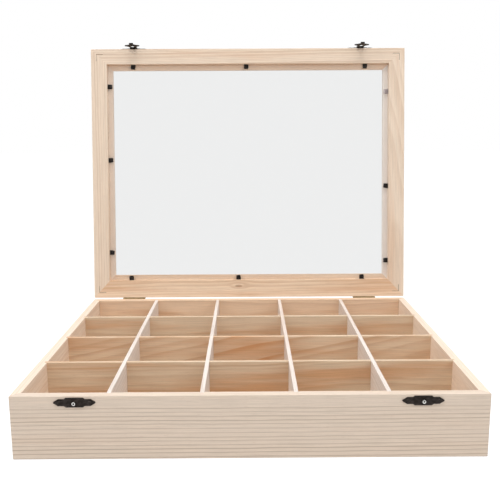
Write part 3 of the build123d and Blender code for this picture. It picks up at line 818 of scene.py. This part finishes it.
def make_tongues():
    """The swinging tongues: a neck that widens into wings and narrows to a curled lip."""
    outline = ((-5.8, 4.0), (-6.9, 4.08), (-7.9, 4.35), (-8.8, 4.85), (-9.6, 5.6), (-10.3, 6.5), (-11.1, 7.9),
               (-11.7, 8.35), (-12.4, 8.5), (-13.1, 8.35), (-13.7, 7.9), (-14.3, 6.4), (-14.9, 5.2), (-15.6, 4.15),
               (-16.4, 3.2), (-17.4, 2.45), (-18.2, 2.3))
    for side in latch_side:
        node_name = side + "_latch_tongue"
        pin, size = middle_and_size(side + "_latch_pin", swing_shut)
        tongue = begin(side + "_tongue", bpy.ops.mesh.primitive_plane_add, size=1.0)
        bpy.ops.transform.resize(value=(8.0 * mm, 4.2 * mm, 1))
        bpy.ops.transform.translate(value=(0, -3.7 * mm, -0.1 * mm))
        pick("EDGE", lambda middle, facing: middle.y < -5.7)
        last_y, last_width = outline[0]
        for y, width in outline[1:]:
            draw_out(y=y - last_y)
            bpy.ops.transform.resize(value=(width / last_width, 1, 1), center_override=(0, y * mm, -0.1 * mm))
            last_y, last_width = y, width
        bpy.ops.mesh.spin(steps=7, angle=math.radians(80), center=(0, -18.2 * mm, 1.5 * mm), axis=(1, 0, 0))
        tidy_mesh()
        pick("FACE", lambda middle, facing: middle.y > -3)
        bpy.ops.object.mode_set(mode="OBJECT")
        thick = tongue.modifiers.new("sheet", "SOLIDIFY")
        thick.thickness = 0.8 * mm
        thick.offset = 0.0
        apply_all(tongue)
        bpy.ops.object.mode_set(mode="EDIT")
        tidy_mesh()
        pick("FACE", lambda middle, facing: facing.z > 0.9 and middle.z > 0.2 and middle.y > -18.0)
        bpy.ops.mesh.inset(thickness=0.7 * mm, depth=0.0)
        bpy.ops.mesh.inset(thickness=0.25 * mm, depth=-0.16 * mm)
        slot = begin("slot", bpy.ops.mesh.primitive_cylinder_add, vertices=32, radius=1.9 * mm, depth=4 * mm,
                     location=(0, -9.4 * mm, 0))
        pick("VERT", lambda middle, facing: middle.y > -9.41)
        bpy.ops.transform.translate(value=(0, 1.6 * mm, 0))
        join_solids(tongue, slot, "DIFFERENCE")
        stem = begin("stem", bpy.ops.mesh.primitive_cube_add, size=1.0)
        bpy.ops.transform.resize(value=(3.6 * mm, 2.2 * mm, 0.8 * mm))
        bpy.ops.transform.translate(value=(0, -0.9 * mm, -0.1 * mm))
        join_solids(tongue, stem, "UNION")
        knuckle = begin("knuckle", bpy.ops.mesh.primitive_cylinder_add, vertices=28, radius=1.3 * mm,
                        depth=3.6 * mm, rotation=(0, math.radians(90), 0))
        join_solids(tongue, knuckle, "UNION")
        ease_edges(tongue, 0.10)
        put_in_place(tongue, pin.x, 1.4, pin.z / mm, swing_open)
        dress(tongue, dark_bronze)
        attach(tongue, side + "_tongue")
        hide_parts(node_name)


# Stage
def set_stage():
    """A white floor that keeps the shadow, and white all round."""
    bpy.ops.object.select_all(action="DESELECT")
    bpy.ops.mesh.primitive_plane_add(size=12.0, location=(0, 0, -0.0002))
    floor = bpy.context.object
    floor.name = "studio_floor"
    material = bpy.data.materials.new("white_studio_floor")
    material.use_nodes = True
    tree = material.node_tree
    tree.nodes.clear()
    rays = node(tree, "ShaderNodeLightPath").outputs
    mirrored = reckon(tree, "MAXIMUM", rays["Is Glossy Ray"], rays["Is Transmission Ray"])
    paint = node(tree, "ShaderNodeBsdfDiffuse")
    paint.inputs["Color"].default_value = (0.70, 0.70, 0.70, 1.0)
    glow = node(tree, "ShaderNodeEmission")
    glow.inputs["Strength"].default_value = 0.92
    shade = node(tree, "ShaderNodeBsdfDiffuse")
    shade.inputs["Color"].default_value = (0.26, 0.26, 0.26, 1.0)
    both = node(tree, "ShaderNodeAddShader")
    tree.links.new(glow.outputs[0], both.inputs[0])
    tree.links.new(shade.outputs[0], both.inputs[1])
    white = node(tree, "ShaderNodeEmission")
    seen = node(tree, "ShaderNodeMixShader")
    feed(tree, rays["Is Camera Ray"], seen.inputs[0])
    tree.links.new(paint.outputs[0], seen.inputs[1])
    tree.links.new(both.outputs[0], seen.inputs[2])
    mix = node(tree, "ShaderNodeMixShader")
    feed(tree, mirrored, mix.inputs[0])
    tree.links.new(seen.outputs[0], mix.inputs[1])
    tree.links.new(white.outputs[0], mix.inputs[2])
    output = node(tree, "ShaderNodeOutputMaterial")
    tree.links.new(mix.outputs[0], output.inputs["Surface"])
    dress(floor, material)

    world = bpy.data.worlds.new("white_studio")
    bpy.context.scene.world = world
    world.use_nodes = True
    tree = world.node_tree
    tree.nodes.clear()
    rays = node(tree, "ShaderNodeLightPath").outputs
    seen = reckon(tree, "MAXIMUM", rays["Is Camera Ray"], rays["Is Glossy Ray"])
    seen = reckon(tree, "MAXIMUM", seen, rays["Is Transmission Ray"])
    sky = node(tree, "ShaderNodeBackground")
    sky.inputs["Color"].default_value = (1, 1, 1, 1)
    feed(tree, reckon(tree, "MULTIPLY_ADD", seen, 0.55, 0.45), sky.inputs["Strength"])
    output = node(tree, "ShaderNodeOutputWorld")
    tree.links.new(sky.outputs[0], output.inputs["Surface"])


def hang_softbox(name, place, target, width, height, power):
    """A soft lamp at a place, turned to a target and returned."""
    data = bpy.data.lights.new(name, "AREA")
    data.shape = "RECTANGLE"
    data.size = width
    data.size_y = height
    data.energy = power
    lamp = bpy.data.objects.new(name, data)
    lamp.location = place
    lamp.rotation_euler = (Vector(target) - Vector(place)).to_track_quat("-Z", "Y").to_euler()
    collection.objects.link(lamp)
    return lamp


def set_lamps():
    """Even studio light from above, with a fill on each side and a weaker one behind.

    The one behind keeps out of reflections, so that it isn't seen as a patch on the shut lid's glass.
    """
    hang_softbox("overhead_softbox", (0.0, -0.25, 1.9), (0, 0, 0.05), 1.6, 1.4, 21.1)
    hang_softbox("right_softbox", (1.5, -1.3, 1.2), (0, 0, 0.1), 1.0, 1.0, 9.0)
    hang_softbox("left_softbox", (-1.6, -0.8, 1.3), (0, 0, 0.1), 1.0, 1.0, 10.5)
    rear = hang_softbox("rear_softbox", (0.2, 1.7, 1.1), (0, 0, 0.1), 1.0, 1.0, 5.0)
    rear.visible_glossy = False


def set_camera():
    """The photograph's view, from a little above the box."""
    data = bpy.data.cameras.new("photo_camera")
    data.lens = 48.337
    data.sensor_width = 36.0
    data.clip_start = 0.01
    data.clip_end = 50.0
    camera = bpy.data.objects.new("photo_camera", data)
    camera.location = (-0.00103, -0.63192, 0.25436)
    camera.rotation_euler = Euler([math.radians(angle) for angle in (79.548, 0.288, -0.221)])
    collection.objects.link(camera)
    bpy.context.scene.camera = camera


dark_bronze = worn_metal("dark_antique_bronze", linear(32, 25, 20), linear(52, 45, 42), linear(104, 92, 80),
                         0.7, 0.36)
antique_brass = worn_metal("antique_brass", linear(124, 106, 74), linear(150, 130, 94), linear(186, 168, 128),
                           0.9, 0.38)
bright_rivet = worn_metal("worn_bright_rivet", linear(206, 204, 200), linear(240, 238, 234), linear(255, 255, 255),
                          1.0, 0.22)
black_steel = worn_metal("satin_black_steel", linear(28, 25, 24), linear(54, 50, 48), linear(110, 104, 98),
                         0.8, 0.4)
# Pale steel, a painted reflection on the most bent glazing point
reflection_painted_steel = worn_metal("reflection_painted_steel", linear(150, 143, 146), linear(184, 176, 178), linear(206, 200, 200), 0.8, 0.45)
nail_steel = worn_metal("wood_stained_steel", linear(132, 112, 94), linear(164, 142, 122), linear(180, 160, 140), 0.4, 0.5)
# Near-black for the inside of the rivets' hollows: painted shade
painted_shade_bore = worn_metal("rivet_bore_painted_shade", linear(30, 26, 24), linear(48, 42, 38), linear(70, 64, 58), 0.3, 0.6)
finish_wood()
for name, cad_node in frame["nodes"].items():
    if "hinge" in name:
        dress(cad_node, antique_brass)
    elif "latch" in name:
        dress(cad_node, dark_bronze)
dress(frame["nodes"]["lid_mitre_nails"], nail_steel)
make_window_pane()
make_glazing_points()
make_box_plates()
make_rivets()
make_lid_plates()
make_tongues()
set_stage()
set_lamps()
set_camera()
